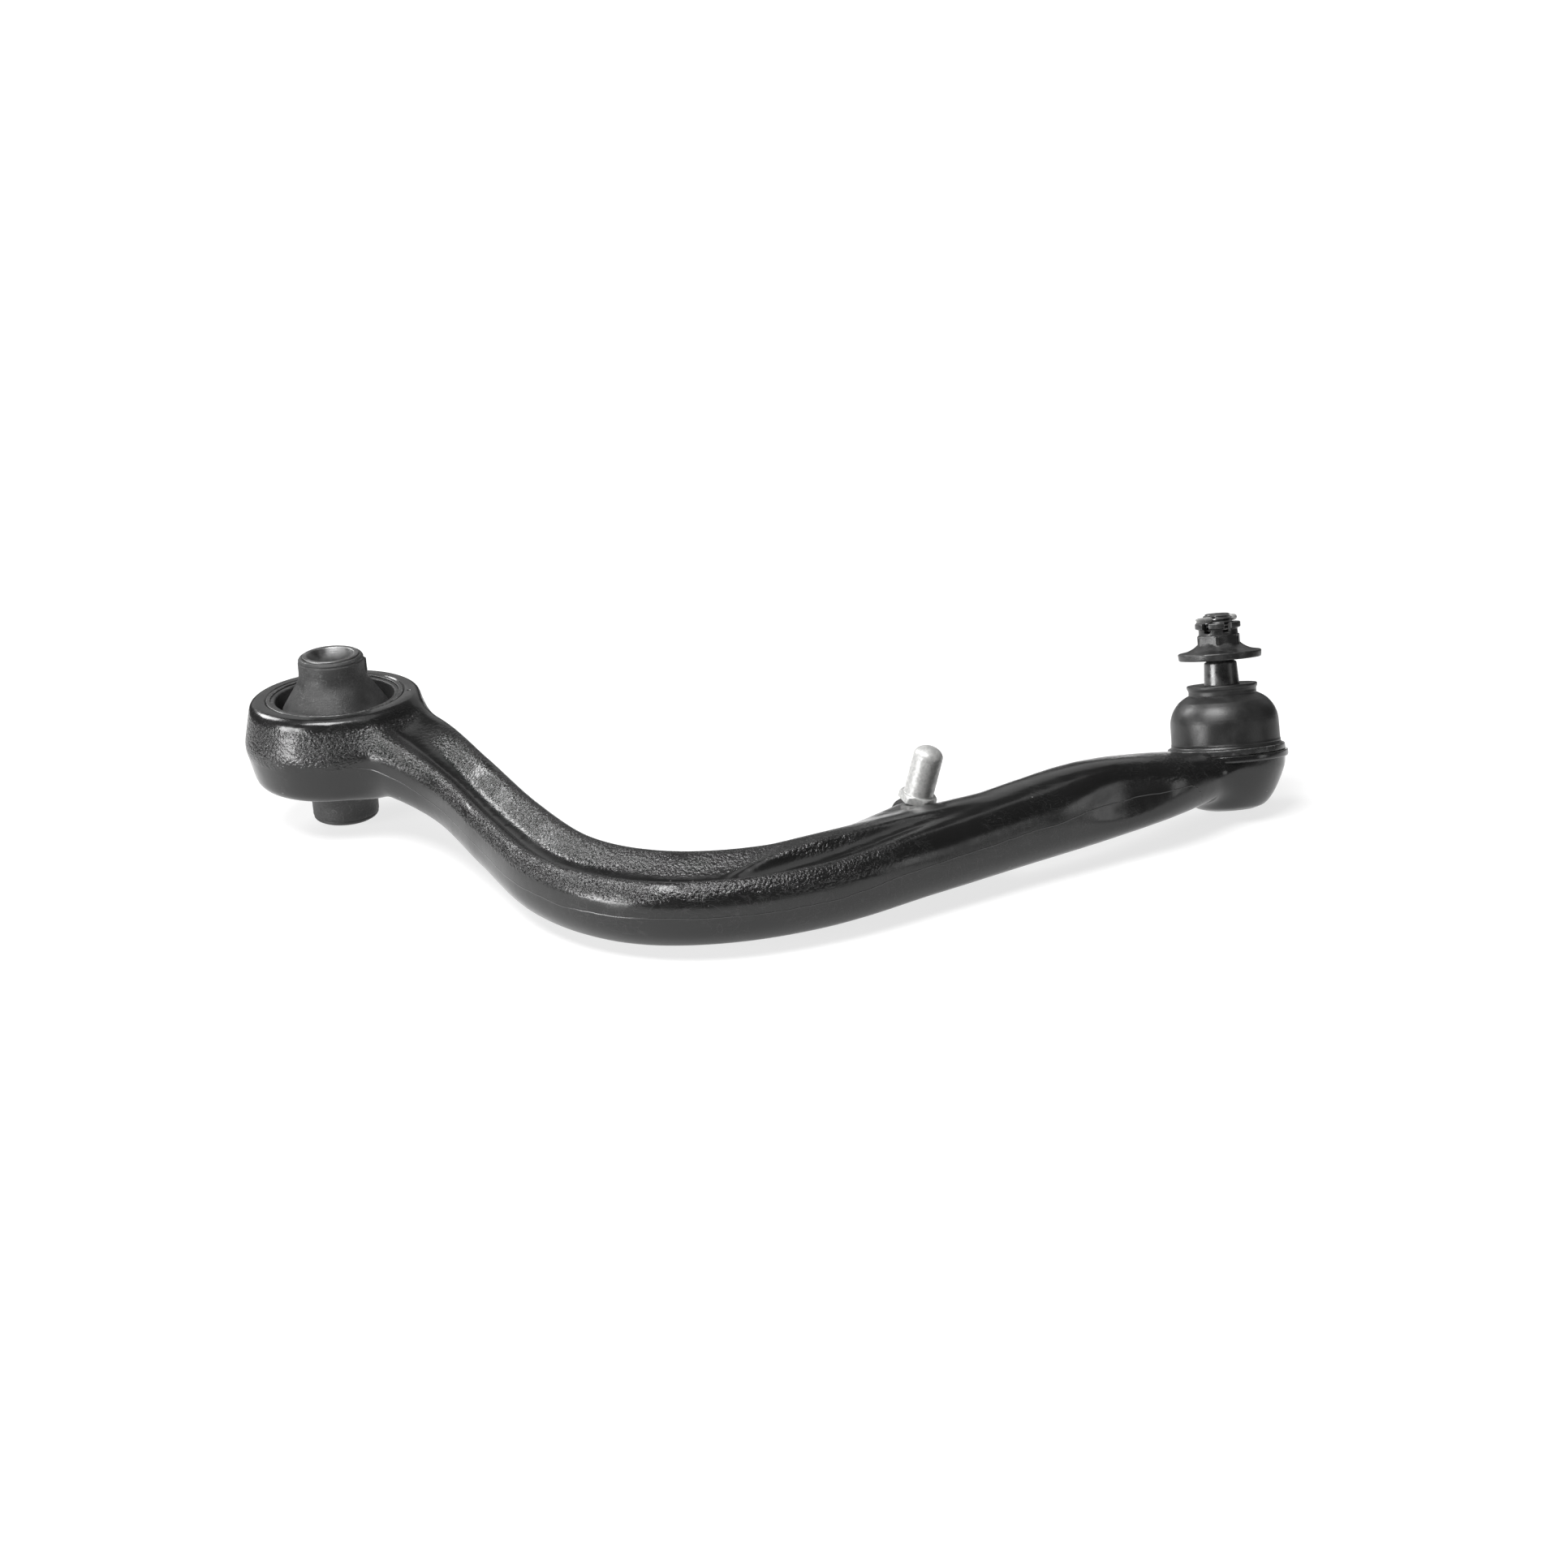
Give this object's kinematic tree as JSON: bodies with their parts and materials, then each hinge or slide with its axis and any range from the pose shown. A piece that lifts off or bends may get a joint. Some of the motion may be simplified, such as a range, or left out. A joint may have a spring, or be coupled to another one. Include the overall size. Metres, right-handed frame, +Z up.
{
  "type": "suspension control arm",
  "caption": "Forged boomerang-shaped suspension control arm with a vertical rubber bush at one end, a sealed ball joint at the other and a plain bracket pin on its inner side.",
  "frame": {"origin": "centre of the bush, halfway up the inner sleeve on the axis of its bolt hole", "axes": "+Z up along the bush's bolt hole, +X along the straight line in plan from the bush axis to the ball centre"},
  "size_m": [0.4395, 0.2035, 0.0829],
  "materials": {
    "black_coated_forging": "satin",
    "black_steel": "satin",
    "bush_rubber": "matte",
    "boot_rubber": "satin",
    "sleeve_steel": "satin",
    "stud_steel": "satin",
    "nut_steel": "satin",
    "zinc_plate": "satin",
    "seat_plastic": "matte"
  },
  "bodies": {
    "arm": {"arm_forging": "black_coated_forging", "bush_shell": "black_steel", "bush_lining": "bush_rubber", "lower_ball_seat": "seat_plastic", "upper_ball_seat": "seat_plastic", "closing_ring": "sleeve_steel", "boot_foot_ring": "black_steel", "bracket_pin": "zinc_plate"},
    "bush_core": {"bush_rubber_core": "bush_rubber"},
    "bush_sleeve": {"bush_inner_sleeve": "sleeve_steel"},
    "boot": {"dust_boot": "boot_rubber"},
    "boot_lip": {"boot_lip_ring": "sleeve_steel"},
    "stud": {"ball_stud": "stud_steel", "castle_nut": "nut_steel", "cotter_pin": "zinc_plate"}
  },
  "joints": [
    {"name": "bush_tilt", "type": "hinge", "parent": "arm", "child": "bush_core", "pos_m": [0, 0, 0], "axis": [0, 1, 0], "range_deg": [-8, 8], "stiffness_Nm_per_rad": 30},
    {"name": "bush_twist", "type": "hinge", "parent": "bush_core", "child": "bush_sleeve", "pos_m": [0, 0, 0], "axis": [0, 0, 1], "range_deg": [-20, 20], "stiffness_Nm_per_rad": 10},
    {"name": "stud_swing_x", "type": "hinge", "parent": "arm", "child": "boot", "pos_m": [0.375, 0, -0.018], "axis": [0.9744, 0.225, 0], "range_deg": [-18, 18], "deforming": ["dust_boot"]},
    {"name": "stud_swing_y", "type": "hinge", "parent": "boot", "child": "boot_lip", "pos_m": [0.375, 0, -0.018], "axis": [-0.2173, 0.9412, -0.2588], "range_deg": [-18, 18]},
    {"name": "stud_spin", "type": "hinge", "parent": "boot_lip", "child": "stud", "pos_m": [0.375, 0, -0.018], "axis": [-0.0582, 0.2522, 0.9659], "continuous": true}
  ]
}
